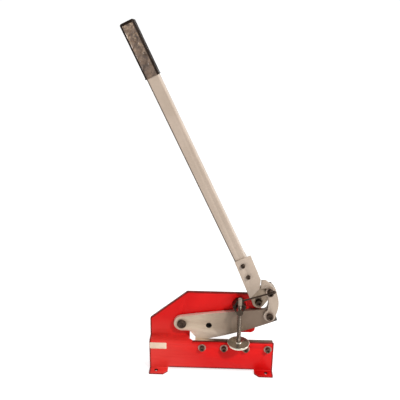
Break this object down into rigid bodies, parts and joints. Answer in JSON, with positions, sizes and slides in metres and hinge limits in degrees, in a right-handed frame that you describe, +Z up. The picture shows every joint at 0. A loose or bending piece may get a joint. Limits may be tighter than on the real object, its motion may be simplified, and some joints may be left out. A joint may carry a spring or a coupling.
{
  "type": "bench lever shear",
  "caption": "Bench lever shear with a red two-plate frame, curved-edge upper blade, long grey lever on curved links, and a screw clamp that holds the sheet down.",
  "frame": {"origin": "centre of the four base bolt holes, on the floor", "axes": "+X along the blades towards the lever pivot, +Y away from the operator, +Z up"},
  "size_m": [0.3619, 0.093, 0.8405],
  "materials": {
    "red_paint": "satin",
    "grey_paint": "satin",
    "blade_steel": "ground",
    "plated_steel": "zinc plated",
    "black_steel": "black oxide",
    "bronze": "turned",
    "grip_plastic": "moulded"
  },
  "bodies": {
    "frame": {"back_plate": "red_paint", "front_plate": "red_paint", "frame_spacers": "red_paint", "lower_blade": "blade_steel", "lower_blade_screws": "black_steel", "lower_blade_washers": "plated_steel", "blade_pivot_bolt": "black_steel", "blade_pivot_washers": "plated_steel", "blade_pivot_spacer": "bronze", "blade_pivot_nut": "black_steel", "lever_pivot_bolt": "black_steel", "lever_pivot_spacer": "bronze", "lever_pivot_nut": "black_steel", "clamp_arm": "black_steel", "clamp_arm_nuts": "black_steel"},
    "blade": {"upper_blade": "blade_steel", "blade_bush": "bronze", "blade_end_pin": "plated_steel"},
    "lever": {"lever_tongue": "blade_steel", "lever_bush": "bronze", "lever_head": "grey_paint", "lever_bar": "grey_paint", "lever_grip": "grip_plastic", "lever_bolts": "black_steel", "lever_bolt_nuts": "black_steel"},
    "link": {"front_link": "grey_paint", "rear_link": "grey_paint", "link_upper_bolt": "black_steel", "link_lower_bolt": "black_steel", "link_washers": "plated_steel", "link_upper_nut": "black_steel", "link_lower_nut": "black_steel"},
    "pad": {"clamp_pad": "plated_steel"},
    "screw": {"clamp_screw": "plated_steel", "clamp_handle": "black_steel", "clamp_ball": "black_steel"}
  },
  "joints": [
    {"name": "lever_pivot", "type": "hinge", "parent": "frame", "child": "lever", "pos_m": [0.113, 0, 0.1915], "axis": [0, 1, 0], "range_deg": [0, 84]},
    {"name": "blade_pivot", "type": "hinge", "parent": "frame", "child": "blade", "pos_m": [-0.075, 0, 0.126], "axis": [0, 1, 0], "range_deg": [0, 14.64]},
    {"name": "link_pivot", "type": "hinge", "parent": "lever", "child": "link", "pos_m": [0.13881, 0, 0.22539], "axis": [0, 1, 0], "range_deg": [-75.9, 0]},
    {"name": "clamp_slide", "type": "slide", "parent": "frame", "child": "pad", "axis": [0, 0, 1], "range_m": [-0.00475, 0]},
    {"name": "clamp_turn", "type": "hinge", "parent": "pad", "child": "screw", "pos_m": [0.0665, -0.029, 0.09], "axis": [0, 0, 1], "range_deg": [-263.09, 0]}
  ],
  "couplings": [
    {"joint": "blade_pivot", "follows": "lever_pivot", "ratio": 0.17418},
    {"joint": "link_pivot", "follows": "lever_pivot", "ratio": -0.90355},
    {"joint": "clamp_turn", "follows": "clamp_slide", "rad_per_m": 966.64}
  ]
}
